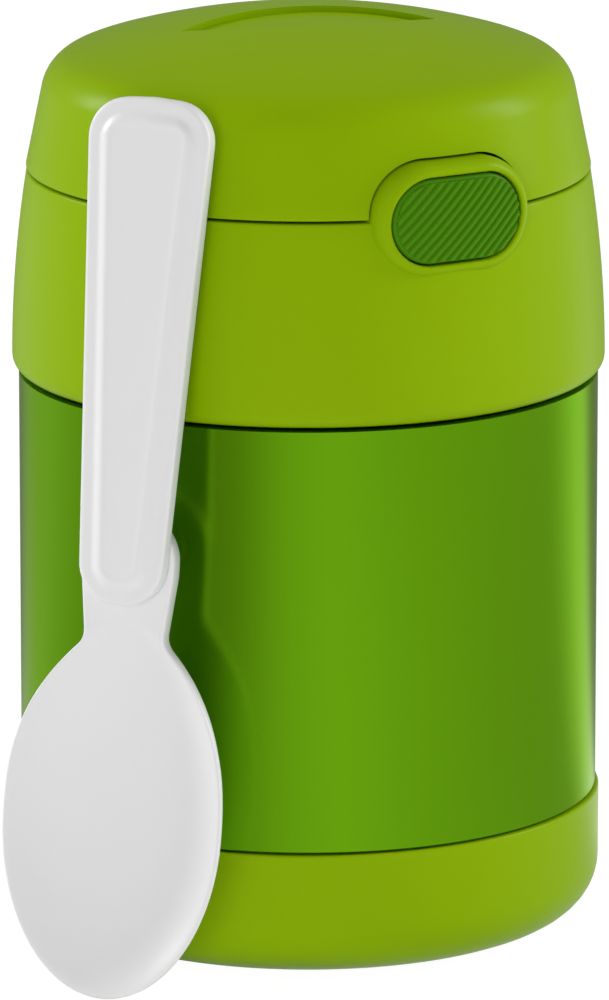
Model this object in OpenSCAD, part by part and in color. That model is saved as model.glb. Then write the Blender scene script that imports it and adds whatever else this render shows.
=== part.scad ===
// Insulated food jar: a double-walled steel vessel, a screw-on lid base with a spoon
// compartment under a hinged dome, a push button that frees the dome, and a folding spoon.
// The base plane is z = 0, the jar's axis is z, and the push button faces -y.

/* [Vessel] */
// Outer radius of the steel body
shell_r = 43.5; // [41:0.1:44]
// Height of the body's shoulder, where the lid base comes down to
shoulder_z = 83.3; // [70:0.1:110]
// Thickness of the pressed steel sheet
sheet_t = 0.6; // [0.4:0.05:0.9]
// Width of the shoulder between the body and the neck
shoulder_w = 6.3; // [5.5:0.1:8]
// Height of the neck above the shoulder
neck_h = 13.2; // [12:0.1:16]
// Width of the flange round the mouth
mouth_flange_w = 3.2; // [2.4:0.1:5]
// Width of the vacuum space between the two walls
vacuum_w = 5.3; // [3:0.1:9]
// Height of the food space's floor
liner_floor_z = 14.3; // [11:0.1:18]
// Corner radius of the food space's floor
liner_corner_r = 8; // [4:0.5:12]

/* [Base cup] */
// How far the base cup stands out past the body
cup_step = 0.5; // [0.3:0.1:1.2]
// Height of the base cup
cup_h = 19.5; // [14:0.1:26]
// Wall of the base cup
cup_wall = 1.9; // [1.4:0.1:2.2]
// Floor of the base cup
cup_floor = 2.4; // [1.6:0.1:3]
// Radius of the base cup's lower corner
cup_corner_r = 8.5; // [5:0.1:9]

/* [Lid base] */
// How far the lid base stands out past the body
collar_step = 1; // [0.6:0.1:2]
// Height of the lid base
collar_h = 30.2; // [28:0.1:32]
// Radius of the bulge up the lid base's side
collar_bulge_r = 186; // [120:2:400]
// Wall of the lid base's skirt
collar_wall = 2.6; // [2:0.1:2.8]
// Wall of the lid base's upper rim
rim_wall = 2.2; // [1.6:0.1:2.6]
// Thickness of the stopper's skirt, which carries the thread
thread_skirt_t = 2; // [1.4:0.1:2.2]
// Depth of the stopper's plug below its flange
plug_depth = 11.7; // [8:0.1:16]
// Thickness of the compartment floor
tray_t = 1.6; // [1.2:0.1:2.4]
// Thickness of the mouth seal
seal_t = 1.8; // [1.2:0.1:2.4]

/* [Push button] */
// Width of the button
button_w = 21.7; // [18:0.1:24]
// Height of the button
button_h = 12.7; // [11.6:0.1:14]
// Width of the bezel's rim round the button
bezel_rim = 2; // [1.6:0.1:2.4]
// How far the bezel's face lies within the lid base's largest radius
bezel_inset = 0.2; // [0.1:0.1:0.6]
// Height of the button's centre
button_z = 114.05; // [113:0.05:116]
// How far the button's face stands out past the bezel's face
button_proud = 0.2; // [-0.8:0.1:0.6]
// Travel of the button
button_travel = 2; // [1:0.1:2.2]
// Pitch of the ribs on the button
rib_pitch = 1.15; // [0.9:0.05:2]
// Tilt of the ribs
rib_angle = 45; // [20:1:70]

/* [Dome lid] */
// How far the dome's edge lies within the lid base's largest radius
dome_inset = 2.2; // [1.8:0.1:2.6]
// Draft of the dome's side, in degrees
dome_draft = 11.6; // [6:0.2:14]
// Height of the shoulder's centre above the dome's edge
dome_side_h = 10.7; // [9:0.1:14]
// Radius of the shoulder's lower arc
shoulder_arc_r = 7.1; // [5:0.1:9]
// Radius of the shoulder's upper arc
shoulder_top_r = 28; // [20:0.5:36]
// Radius of the dome's crown
crown_r = 113; // [90:1:180]
// Wall of the dome
dome_wall = 2; // [1.5:0.1:2.4]
// Wall of the dome's liner
lining_wall = 1.4; // [1:0.1:1.8]
// Length of the eye-shaped recess in the crown
recess_l = 39; // [24:0.5:44]
// Width of the recess
recess_w = 14; // [8:0.5:20]
// Depth of the recess
recess_d = 0.9; // [0.3:0.1:1]

/* [Hinge] */
// Radius of the hinge's knuckles
knuckle_r = 2.4; // [2:0.1:2.4]
// Length of the dome's knuckle
knuckle_l = 11.2; // [8:0.1:14]
// Length of each of the lid base's knuckles
ear_l = 5; // [3:0.1:7]
// Radius of the hinge pin
pin_r = 0.9; // [0.7:0.05:1.2]

/* [Spoon] */
// Height of the swivel above the bowl's tip
spoon_pivot_z = 64.9; // [62:0.1:72]
// Length of the handle above the swivel
handle_l = 68.2; // [60:0.1:74]
// Width of the handle near its free end
handle_w = 19.4; // [16:0.2:22]
// Width of the handle at the swivel
handle_pivot_w = 12.5; // [11:0.1:14]
// Thickness of the handle's rim
handle_t = 3; // [2:0.1:3.4]
// Height of the handle's raised panel
panel_h = 0.8; // [0.3:0.1:1.2]
// Width of the bowl
bowl_w = 34.2; // [28:0.2:38]
// Height of the bowl's widest place above its tip
bowl_low = 26; // [22:0.5:30]
// Length of the bowl above its widest place
bowl_high = 27; // [24:0.5:30]
// Depth of the bowl
bowl_depth = 7.5; // [5:0.1:9]
// Wall of the bowl
bowl_wall = 1.5; // [1:0.1:2]
// Thickness of the tab
tab_t = 3; // [2.2:0.1:3.4]
// Radius of the tab round the swivel
tab_r = 7.2; // [6.6:0.1:8]
// Radius of the swivel stud
stud_r = 2.4; // [1.8:0.1:3]
// Direction in which the spoon faces, counted from the button
spoon_azimuth = -50.5; // [-60:0.5:-45]
// Distance of the spoon's foot from the body
spoon_stand = 16.8; // [16.8:0.1:26]
// Shift of the spoon to the side
spoon_shift = -10.9; // [-14:0.05:0]
// Lean of the spoon towards the jar, in degrees
spoon_lean = 7.8; // [4:0.1:7.8]
// Tilt of the spoon to the side, in degrees
spoon_tilt = 1.35; // [0:0.05:3]

/* [Clearances] */
// Gap between pieces that sit on each other or pass each other
seat_gap = 0.3; // [0.25:0.05:0.35]
// Gap between pieces that are joined for good
bond_gap = 0.1; // [0.05:0.05:0.15]
// Gap round the button and the bezel
sliding_gap = 0.2; // [0.15:0.05:0.25]
// Radial clearance of a pin that turns in its bore
running_fit = 0.05; // [0.02:0.01:0.08]
// Gap at the parting line between dome and lid base
parting_gap = 0.4; // [0.4:0.05:0.6]

/* [Hidden] */
$fn = 96;
arc_steps = 6;

lid_green = [0.52, 0.68, 0.04];
steel_green = [0.36, 0.60, 0.02];
button_green = [0.28, 0.50, 0.08];
steel = [0.78, 0.79, 0.80];
spoon_white = [0.92, 0.92, 0.93];
liner_grey = [0.70, 0.71, 0.72];

// Radii that follow from the body's
cup_r = shell_r + cup_step;
neck_r = shell_r - shoulder_w;
mouth_r = neck_r - mouth_flange_w;
liner_r = shell_r - 2 * sheet_t - vacuum_w;
collar_r = shell_r + collar_step;
bezel_r = collar_r - bezel_inset;
dome_r = collar_r - dome_inset;
spoon_foot = shell_r + spoon_stand;

// Vessel
foot_r = cup_r - cup_wall - seat_gap;
foot_corner_r = cup_corner_r - cup_wall - bond_gap - seat_gap;
foot_z = cup_floor + seat_gap;
weld_z = foot_z + foot_corner_r + 0.4;
step_z = cup_h + 0.4;
neck_top_z = shoulder_z + neck_h;
shoulder_rise = 1.3;
liner_top_z = shoulder_z - 3;
dimple_r = 8;
dimple_h = 1.6;

// Lid base
collar_z = shoulder_z + 0.7;
collar_top_z = collar_z + collar_h;
collar_in_r = collar_r - collar_wall;
bulge_z = collar_z + 0.8;
rim_in_r = bulge_side(collar_top_z) - rim_wall;
flange_z = neck_top_z + seal_t + 2 * seat_gap;
skirt_in_r = neck_r + 1.1;
skirt_r = skirt_in_r + thread_skirt_t;
plug_r = mouth_r - 1.6;
plug_wall = 2;
lip_rise = 5.2;
lip_z = flange_z + lip_rise;
lip_t = 2.2;
lip_w = 2.4;
lip_r = rim_in_r - lip_w;
stopper_flange_t = 1.5;
skirt_lift = 1.8;
collar_corner_r = 2.2;
edge_r = 0.4;
rib_w = 1.2;
rib_inset = 2.5;
tray_z = lip_z + lip_t + bond_gap;
tray_top_z = tray_z + tray_t;
rib_count = 12;

// Button, bezel and latch, from the front face to the back
bezel_w = button_w + 2 * (sliding_gap + bezel_rim);
bezel_h = button_h + 2 * (sliding_gap + bezel_rim);
bezel_crown_r = 60;
tower_depth = 9.1;
tower_back = tower_depth - bezel_r;
guide_t = 1.5;
guide_back = tower_back - bond_gap;
guide_front = guide_back - guide_t;
button_skirt = 1.6;
button_wall = 3.2;
button_floor = button_wall - button_proud - bezel_r;
button_end_gap = 1;
button_back = guide_front - button_travel - button_end_gap;
rib_h = 0.35;
tongue_w = 9;
tongue_t = 1.4;
tongue_front = tower_back + 0.5;
tongue_back = tongue_front + tongue_t;
ledge_t = 1.5;
stem_w = 7;
stem_t = 2.2;
stem_z = button_z - button_h / 2 + button_skirt + bond_gap;
hook_t = 1.6;
nose_t = 1.5;
ledge_z = stem_z + stem_t + 0.4;
ledge_back = tongue_back + 1.4;
nose_front = ledge_back + seat_gap;
hook_back = nose_front + 1 + hook_t;
nose_z = ledge_z + ledge_t + seat_gap;
spring_z = button_z + 2.5;
spring_r = 1.9;
wire_r = 0.22;
spring_turns = 3;
spring_sides = 8;
spring_steps = 20;
boss_r = 1;
boss_l = 0.8;
weld = 0.1;

// Dome: the side line, two shoulder arcs and the crown meet tangentially
dome_z = collar_top_z + parting_gap;
blend_angle = 66.8;
shoulder_c = [dome_r - dome_side_h * tan(dome_draft) - shoulder_arc_r / cos(dome_draft),
              dome_z + dome_side_h];
top_c = shoulder_c - (shoulder_top_r - shoulder_arc_r) * [cos(blend_angle), sin(blend_angle)];
crown_angle = acos(top_c[0] / (crown_r - shoulder_top_r));
crown_z = top_c[1] - (crown_r - shoulder_top_r) * sin(crown_angle);
lining_inset = dome_wall + 0.15;
lining_z = dome_z + 3.2;
recess_turn = -17;
recess_offset = [-0.9, -1.5];

// Hinge
hinge_y = dome_r - 1.7;
hinge_z = dome_z - 0.05;
hinge_pocket = knuckle_r + 0.4;
ear_gap = 0.4;
ear_x = knuckle_l / 2 + ear_gap;
pin_grip = 0.02;

// Spoon
neck_w = 12.2;
neck_l = 2;
neck_fillet_r = 3;
tab_fillet_r = 5;
tab_corner_r = tab_r - 0.2;
handle_crown_r = 12;
handle_crown_h = 0.6;
handle_corner_r = 6;
panel_margin = 2.6;
stud_head_r = stud_r + 0.8;
stud_head_t = 0.8;
stud_slot = 0.8;
spoon_gap = 0.15;
spoon_rise = 0.3;
rim_t = 1.3;
bowl_rings = 9;
bowl_steps = 12;
bowl_power = 2.6;

// Radius of the lid base's side at height z
function bulge_side(z) =
    collar_r - collar_bulge_r + sqrt(pow(collar_bulge_r, 2) - pow(z - bulge_z, 2));

// Points of an arc about c
function arc(c, r, from, to, steps = arc_steps) = [
    for (i = [0:steps])
        let (a = from + (to - from) * i / steps)
        c + r * [cos(a), sin(a)]
];

function unit(v) = v / norm(v);
function xy(p) = [p[0], p[1]];
function left_of(v) = [-v[1], v[0]];
function turn(p, c, q) = sign((c - p)[0] * (q - c)[1] - (c - p)[1] * (q - c)[0]);

// Points that round the corner c between p and q with radius r
function corner(p, c, q, r) =
    r <= 0 ? [c] :
    let (
        u = unit(p - c),
        v = unit(q - c),
        half = acos(u * v) / 2,
        centre = c + unit(u + v) * r / sin(half),
        a = c + u * r / tan(half) - centre,
        b = c + v * r / tan(half) - centre,
        from = atan2(a[1], a[0]),
        sweep = (atan2(b[1], b[0]) - from + 540) % 360 - 180
    )
    arc(centre, r, from, from + sweep);

// Closed outline from corners given as [x, y, radius]
function rounded(c) = [
    for (i = [0:len(c) - 1])
        let (n = len(c))
        each corner(xy(c[(i + n - 1) % n]), xy(c[i]), xy(c[(i + 1) % n]), c[i][2])
];

// Open path from corners given as [x, y, radius]
function path(c) = [
    for (i = [0:len(c) - 1])
        each (i == 0 || i == len(c) - 1) ? [xy(c[i])]
            : corner(xy(c[i - 1]), xy(c[i]), xy(c[i + 1]), c[i][2])
];

// The same path, moved to its left by t with its radii kept parallel
function parallel(c, t) = [
    for (i = [0:len(c) - 1])
        let (
            here = xy(c[i]),
            before = i == 0 ? here : xy(c[i - 1]),
            after = i == len(c) - 1 ? here : xy(c[i + 1]),
            n0 = left_of(unit(i == 0 ? after - here : here - before)),
            n1 = left_of(unit(i == len(c) - 1 ? here - before : after - here)),
            p = here + t * (n0 + n1) / (1 + n0 * n1)
        )
        [p[0], p[1], c[i][2] == 0 ? 0 : c[i][2] - t * turn(before, here, after)]
];

function reversed(list) = [for (i = [len(list) - 1:-1:0]) list[i]];

// Outline of a sheet of thickness t that lies to the left of a path
function sheet(c, t) = concat(path(c), reversed(path(parallel(c, t))));

// The dome's profile from its edge to the axis, moved inwards by inset
function dome_curve(inset) = concat(
    [[dome_r - inset / cos(dome_draft), dome_z]],
    arc(shoulder_c, shoulder_arc_r - inset, dome_draft, blend_angle),
    arc(top_c, shoulder_top_r - inset, blend_angle, crown_angle),
    arc([0, crown_z], crown_r - inset, crown_angle, 90, 2 * arc_steps)
);

module revolve(outline) {
    rotate_extrude() polygon(outline);
}

// A block that the dome's profile bounds, moved inwards by inset
module dome_solid(inset) {
    revolve(concat([[0, dome_z]], dome_curve(inset)));
}

// An obround that lies across the front, from y = front to y = back
module front_obround(w, h, front, back) {
    translate([0, back, button_z]) rotate([90, 0, 0]) linear_extrude(back - front) {
        square([w - h, h], center = true);
        for (side = [-1, 1]) translate([side * (w - h) / 2, 0]) circle(h / 2);
    }
}

// A body of revolution with a crowned face, which bounds the bezel and the button
module crowned_face(face_r) {
    span = bezel_h / 2 + 2;
    revolve(concat(
        [[0, button_z - span]],
        [for (i = [0:2 * arc_steps])
            let (z = -span + span * i / arc_steps)
            [face_r - bezel_crown_r + sqrt(pow(bezel_crown_r, 2) - z * z), button_z + z]],
        [[0, button_z + span]]
    ));
}

// A block given by its lower and upper corners
module block(low, high) {
    translate(low) cube(high - low);
}

// A cylinder along x on the hinge's axis, from x = low to x = high
module hinge_barrel(r, low, high) {
    translate([low, hinge_y, hinge_z]) rotate([0, 90, 0]) cylinder(r = r, h = high - low);
}

// ---- Vessel ----

module outer_shell() {
    color(steel_green) revolve(sheet([
        [foot_r, weld_z, 0],
        [foot_r, step_z, 0.4],
        [shell_r, step_z, 1],
        [shell_r, shoulder_z, 2],
        [neck_r, shoulder_z + shoulder_rise, 0.8],
        [neck_r, neck_top_z - sheet_t - bond_gap, 0]
    ], sheet_t));
}

module inner_liner() {
    color(steel) revolve(sheet([
        [0, liner_floor_z, 0],
        [liner_r, liner_floor_z, liner_corner_r],
        [liner_r, liner_top_z, 3],
        [mouth_r, liner_top_z + 4, 3],
        [mouth_r, neck_top_z, 0.8],
        [neck_r, neck_top_z, 0]
    ], -sheet_t));
}

module radiation_foil() {
    foil_t = 0.2;
    foil_r = liner_r + sheet_t + seat_gap;
    foil_low = liner_floor_z + liner_corner_r;
    color(steel) translate([0, 0, foil_low]) difference() {
        cylinder(r = foil_r + foil_t, h = liner_top_z - foil_low - 2);
        translate([0, 0, -1]) cylinder(r = foil_r, h = liner_top_z);
    }
}

module shell_base() {
    color(steel) revolve(sheet([
        [foot_r, weld_z - bond_gap, 0],
        [foot_r, foot_z, foot_corner_r],
        [dimple_r + dimple_h, foot_z, 1],
        [dimple_r, foot_z + dimple_h, 1],
        [0, foot_z + dimple_h, 0]
    ], -sheet_t));
}

module getter() {
    getter_r = 4.5;
    color(liner_grey) translate([foot_r / 2 + getter_r, 0, foot_z + sheet_t + bond_gap])
        cylinder(r = getter_r, h = 1.6);
}

module evacuation_seal() {
    color("dimgray") translate([0, 0, foot_z + seat_gap])
        cylinder(r = dimple_r / 2, h = dimple_h - seat_gap - bond_gap);
}

module base_cup() {
    color(lid_green) revolve(rounded([
        [0, 0, 0],
        [cup_r, 0, cup_corner_r],
        [cup_r, cup_h, 0.7],
        [cup_r - cup_wall, cup_h, 0.3],
        [cup_r - cup_wall, cup_floor, foot_corner_r + seat_gap],
        [0, cup_floor, 0]
    ]));
}

// ---- Lid base ----

module collar_ring() {
    revolve(rounded(concat(
        [[collar_in_r, collar_z, edge_r], [bulge_side(collar_z), collar_z, collar_corner_r]],
        [for (i = [1:7])
            let (z = collar_z + collar_h * i / 8)
            [bulge_side(z), z, 0]],
        [
            [bulge_side(collar_top_z), collar_top_z, edge_r],
            [rim_in_r, collar_top_z, edge_r],
            [rim_in_r, lip_z + lip_t, 0],
            [lip_r, lip_z + lip_t, 0],
            [lip_r, lip_z, 0],
            [collar_in_r, lip_z, 0]
        ]
    )));
}

module centring_ribs() {
    for (i = [0:rib_count - 1]) rotate([0, 0, i * 360 / rib_count])
        block([skirt_r + sliding_gap, -rib_w / 2, collar_z + rib_inset],
            [collar_in_r + collar_wall / 4, rib_w / 2, lip_z - stopper_flange_t - edge_r]);
}

// The lid base's two knuckles, cut back to the radius of the knuckles' crest
module hinge_ears() {
    intersection() {
        for (side = [-1, 1])
            hinge_barrel(knuckle_r, side * (ear_x + ear_l / 2) - ear_l / 2,
                side * (ear_x + ear_l / 2) + ear_l / 2);
        translate([0, 0, hinge_z - 2 * knuckle_r]) cylinder(r = hinge_y + knuckle_r, h = 4 * knuckle_r);
    }
}

module collar() {
    color(lid_green) difference() {
        union() {
            collar_ring();
            centring_ribs();
            intersection() {
                front_obround(bezel_w, bezel_h, -bezel_r - 1, tower_back);
                crowned_face(bezel_r);
            }
            hinge_ears();
        }
        front_obround(button_w + 2 * sliding_gap, button_h + 2 * sliding_gap, -bezel_r - 2,
            tower_back + 1);
        hinge_barrel(hinge_pocket, -knuckle_l / 2 - seat_gap, knuckle_l / 2 + seat_gap);
        hinge_barrel(pin_r + pin_grip, -collar_r, collar_r);
    }
}

module stopper() {
    color(liner_grey) revolve(rounded([
        [0, flange_z - plug_depth, 0],
        [plug_r, flange_z - plug_depth, 2],
        [plug_r, flange_z, 0],
        [skirt_in_r, flange_z, 0],
        [skirt_in_r, collar_z + skirt_lift, edge_r],
        [skirt_r, collar_z + skirt_lift, edge_r],
        [skirt_r, lip_z - bond_gap - stopper_flange_t, 0],
        [collar_in_r - bond_gap, lip_z - bond_gap - stopper_flange_t, 0],
        [collar_in_r - bond_gap, lip_z - bond_gap, 0],
        [plug_r - plug_wall, lip_z - bond_gap, 0],
        [plug_r - plug_wall, flange_z - plug_depth + plug_wall, 1],
        [0, flange_z - plug_depth + plug_wall, 0]
    ]));
}

module stopper_insulation() {
    foam_r = plug_r - plug_wall - sliding_gap;
    foam_z = flange_z - plug_depth + plug_wall + bond_gap;
    color("whitesmoke") difference() {
        revolve([
            [0, foam_z],
            [foam_r - 1, foam_z],
            [foam_r, foam_z + 1],
            [foam_r, lip_z + bond_gap],
            [lip_r - sliding_gap, lip_z + bond_gap],
            [lip_r - sliding_gap, lip_z + lip_t],
            [0, lip_z + lip_t]
        ]);
        tower_clearance();
    }
}

// The space that the bezel's tower takes behind the lid base's wall
module tower_clearance() {
    block([-bezel_w / 2 - seat_gap, -collar_r, lip_z - lip_t],
        [bezel_w / 2 + seat_gap, tower_back + seat_gap, dome_z + bezel_h]);
}

module compartment_floor() {
    tray_r = rim_in_r - sliding_gap;
    color(liner_grey) difference() {
        translate([0, 0, tray_z]) cylinder(r = tray_r, h = tray_t);
        tower_clearance();
    }
}

// Plate that closes the tower's back, guides the latch and carries the spring
module latch_guide() {
    color(liner_grey) {
        difference() {
            front_obround(button_w, button_h, guide_front, guide_back);
            block([-stem_w / 2 - sliding_gap, guide_front - 1, stem_z - sliding_gap],
                [stem_w / 2 + sliding_gap, guide_back + 1, stem_z + stem_t + sliding_gap]);
        }
        spring_boss(guide_front - boss_l, guide_front + weld);
    }
}

// Boss inside the spring's end, from y = front to y = back
module spring_boss(front, back) {
    translate([0, back, spring_z]) rotate([90, 0, 0]) cylinder(r = boss_r, h = back - front);
}

module hinge_pin() {
    pin_end = ear_x + ear_l - 0.2;
    color(steel) hinge_barrel(pin_r, -pin_end, pin_end);
}

module mouth_seal() {
    seal_in_r = plug_r + 0.8;
    color("white") revolve(rounded([
        [seal_in_r, neck_top_z + seat_gap, 0.3],
        [neck_r, neck_top_z + seat_gap, 0.3],
        [neck_r, neck_top_z + seat_gap + seal_t, 0.3],
        [seal_in_r, neck_top_z + seat_gap + seal_t, 0.3]
    ]));
}

// ---- Push button and latch ----

module button_ribs() {
    rib_w = 0.65 * rib_pitch;
    half_count = ceil((button_w + button_h) / 2 / rib_pitch);
    intersection() {
        front_obround(button_w - 1, button_h - 1, -bezel_r - 1, button_floor);
        crowned_face(bezel_r + button_proud);
        for (i = [-half_count:half_count]) translate([0, 0, button_z]) rotate([0, -rib_angle, 0])
            block([-button_w, -bezel_r - 1, i * rib_pitch - rib_w / 2],
                [button_w, button_floor, i * rib_pitch + rib_w / 2]);
    }
}

module button() {
    color(button_green) {
        difference() {
            intersection() {
                front_obround(button_w, button_h, -bezel_r - 1, button_back);
                crowned_face(bezel_r + button_proud - rib_h);
            }
            front_obround(button_w - 2 * button_skirt, button_h - 2 * button_skirt,
                button_floor, button_back + 1);
        }
        button_ribs();
        spring_boss(button_floor - weld, button_floor + boss_l);
    }
}

module latch_slide() {
    root = button_floor + bond_gap;
    color(liner_grey) {
        block([-stem_w / 2 - 1, root, stem_z], [stem_w / 2 + 1, root + 1.2, stem_z + stem_t + 0.8]);
        block([-stem_w / 2, root, stem_z], [stem_w / 2, hook_back, stem_z + stem_t]);
        block([-stem_w / 2, hook_back - hook_t, stem_z], [stem_w / 2, hook_back, nose_z + nose_t]);
        block([-stem_w / 2, nose_front, nose_z], [stem_w / 2, hook_back, nose_z + nose_t]);
    }
}

// Ring k of the spring's wire, and its closed tube
function spring_ring(k, low, rise) =
    let (
        a = 360 * k / spring_steps,
        lift = rise * k / (spring_turns * spring_steps)
    )
    [for (i = [0:spring_sides - 1])
        let (
            b = 360 * i / spring_sides,
            r = spring_r + wire_r * cos(b)
        )
        [r * cos(a), r * sin(a), low + lift + wire_r * sin(b)]];

module button_spring() {
    gap = bond_gap + wire_r;
    length = guide_front - button_floor - 2 * gap;
    rings = spring_turns * spring_steps;
    points = [for (k = [0:rings]) each spring_ring(k, 0, length)];
    sides = [
        for (k = [0:rings - 1], i = [0:spring_sides - 1])
            let (j = (i + 1) % spring_sides)
            [k * spring_sides + i, (k + 1) * spring_sides + i, (k + 1) * spring_sides + j,
             k * spring_sides + j]
    ];
    first = [for (i = [0:spring_sides - 1]) i];
    last = [for (i = [spring_sides - 1:-1:0]) rings * spring_sides + i];
    color(steel) translate([0, guide_front - gap, spring_z]) rotate([90, 0, 0])
        polyhedron(points, concat(sides, [first, last]), convexity = 8);
}

// ---- Dome lid ----

// The notch that lets the dome pass over the bezel's tower
module tower_notch() {
    w = bezel_w + 2 * (seat_gap + bond_gap);
    h = bezel_h + 2 * (seat_gap + bond_gap);
    front_obround(w, h, -collar_r - 2, tower_back + seat_gap);
    block([-w / 2, -collar_r - 2, dome_z - 1], [w / 2, tower_back + seat_gap, button_z]);
}

// Eye-shaped recess in the crown, with a floor parallel to it
module crown_recess() {
    eye_r = (pow(recess_l / 2, 2) + pow(recess_w / 2, 2)) / recess_w;
    difference() {
        translate([recess_offset[0], recess_offset[1], crown_z + crown_r - 6])
            rotate([0, 0, recess_turn]) linear_extrude(8) intersection() {
                translate([0, eye_r - recess_w / 2]) circle(eye_r);
                translate([0, recess_w / 2 - eye_r]) circle(eye_r);
            }
        translate([0, 0, crown_z]) sphere(crown_r - recess_d);
    }
}

module lid_dome() {
    color(lid_green) difference() {
        union() {
            revolve(concat(dome_curve(0), reversed(dome_curve(dome_wall))));
            hinge_barrel(knuckle_r, -knuckle_l / 2, knuckle_l / 2);
        }
        tower_notch();
        crown_recess();
        for (side = [-1, 1])
            hinge_barrel(hinge_pocket, side * (ear_x + ear_l / 2) - ear_l / 2 - seat_gap,
                side * (ear_x + ear_l / 2) + ear_l / 2 + seat_gap);
        hinge_barrel(pin_r + running_fit, -knuckle_l, knuckle_l);
    }
}

module lid_liner() {
    color(liner_grey) {
        difference() {
            revolve(concat(dome_curve(lining_inset), reversed(dome_curve(lining_inset + lining_wall))));
            block([-dome_r, -dome_r, dome_z - 1], [dome_r, dome_r, lining_z]);
            tower_notch();
        }
        // Catch that the latch holds, with its ledge
        intersection() {
            block([-tongue_w / 2, tongue_front, ledge_z], [tongue_w / 2, tongue_back, crown_z + crown_r]);
            union() {
                dome_solid(lining_inset + 0.2);
                block([-tongue_w, -dome_r, ledge_z - 1], [tongue_w, 0, dome_z + 1]);
            }
        }
        block([-tongue_w / 2, tongue_front, ledge_z], [tongue_w / 2, ledge_back, ledge_z + ledge_t]);
    }
}

// ---- Spoon, modelled upright with its face to -y and its tip at the origin ----

module place_spoon() {
    rotate([0, 0, spoon_azimuth]) translate([spoon_shift, -spoon_foot, spoon_rise])
        rotate([-spoon_lean, 0, 0]) rotate([0, spoon_tilt, 0]) children();
}

// Flat plate with an outline in x and z, from y = front to y = back
module plate(outline, front, back) {
    translate([0, back, 0]) rotate([90, 0, 0]) linear_extrude(back - front) polygon(outline);
}

// Outline of the handle, moved inwards by inset
function handle_outline(inset) =
    let (
        end_r = handle_pivot_w / 2,
        top = spoon_pivot_z + handle_l
    )
    rounded([
        [-end_r + inset, spoon_pivot_z - end_r + inset, end_r - inset - 0.1],
        [end_r - inset, spoon_pivot_z - end_r + inset, end_r - inset - 0.1],
        [handle_w / 2 - inset, top - handle_crown_h - inset, handle_corner_r - inset / 2],
        [0, top - inset, handle_crown_r],
        [-handle_w / 2 + inset, top - handle_crown_h - inset, handle_corner_r - inset / 2]
    ]);

module spoon_handle() {
    head_y = tab_t + spoon_gap;
    color(spoon_white) place_spoon() difference() {
        union() {
            plate(handle_outline(0), -handle_t - spoon_gap, -spoon_gap);
            plate(handle_outline(panel_margin), -handle_t - panel_h - spoon_gap, -handle_t);
            translate([0, head_y + 0.1, spoon_pivot_z]) rotate([90, 0, 0])
                cylinder(r = stud_r, h = head_y + spoon_gap + 0.2);
            translate([0, head_y + stud_head_t, spoon_pivot_z]) rotate([90, 0, 0])
                cylinder(r1 = stud_r, r2 = stud_head_r, h = stud_head_t);
        }
        block([-stud_slot / 2, 0, spoon_pivot_z - stud_head_r - 1],
            [stud_slot / 2, head_y + stud_head_t + 1, spoon_pivot_z + stud_head_r + 1]);
    }
}

// Half width of the bowl at the share f of its length above the widest place
function bowl_half(f) = neck_w / 2 + (bowl_w - neck_w) / 2 * (1 - pow(f, bowl_power));

// Outline of the bowl about its widest place, as [x, z, thickness of the rim]
bowl_rim = concat(
    [for (i = [0:bowl_steps])
        let (f = sin(90 * i / bowl_steps))
        [bowl_half(f), bowl_high * f, rim_t + (tab_t - rim_t) * pow(f, 6)]],
    [for (i = [bowl_steps:-1:0])
        let (f = sin(90 * i / bowl_steps))
        [-bowl_half(f), bowl_high * f, rim_t + (tab_t - rim_t) * pow(f, 6)]],
    [for (i = [1:2 * bowl_steps - 1])
        let (a = 180 + 90 * i / bowl_steps)
        [bowl_w / 2 * cos(a), bowl_low * sin(a), rim_t]]
);

// Rings of a bowl's surface from its rim inwards; back is 1 for the outer surface and 0 for the inner
function bowl_surface(depth, back) = [
    for (k = [0:bowl_rings - 1])
        let (s = 1 - k / bowl_rings)
        each [for (p = bowl_rim) [p[0] * s, depth * (1 - s * s) + back * p[2] * s * s, bowl_low + p[1] * s]]
];

// Bowl between its inner and outer surface, with its rim at y = 0 and its depth towards +y
module bowl_shell() {
    sides = len(bowl_rim);
    count = bowl_rings * sides;
    points = concat(bowl_surface(bowl_depth, 1), bowl_surface(bowl_depth - bowl_wall, 0),
        [[0, bowl_depth, bowl_low], [0, bowl_depth - bowl_wall, bowl_low]]);
    function next(i) = (i + 1) % sides;
    outer_sides = [for (k = [0:bowl_rings - 2], i = [0:sides - 1], half = [0, 1])
        let (low = k * sides, high = low + sides)
        half == 0 ? [low + i, low + next(i), high + next(i)] : [low + i, high + next(i), high + i]];
    inner_sides = [for (q = outer_sides) [q[2] + count, q[1] + count, q[0] + count]];
    last = count - sides;
    outer_cap = [for (i = [0:sides - 1]) [last + next(i), 2 * count, last + i]];
    inner_cap = [for (i = [0:sides - 1]) [count + last + i, 2 * count + 1, count + last + next(i)]];
    rim = [for (i = [0:sides - 1], half = [0, 1])
        half == 0 ? [count + i, count + next(i), next(i)] : [count + i, next(i), i]];
    polyhedron(points, concat([for (q = outer_sides) reversed(q)], [for (q = inner_sides) reversed(q)],
        outer_cap, inner_cap, rim), convexity = 6);
}

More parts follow.
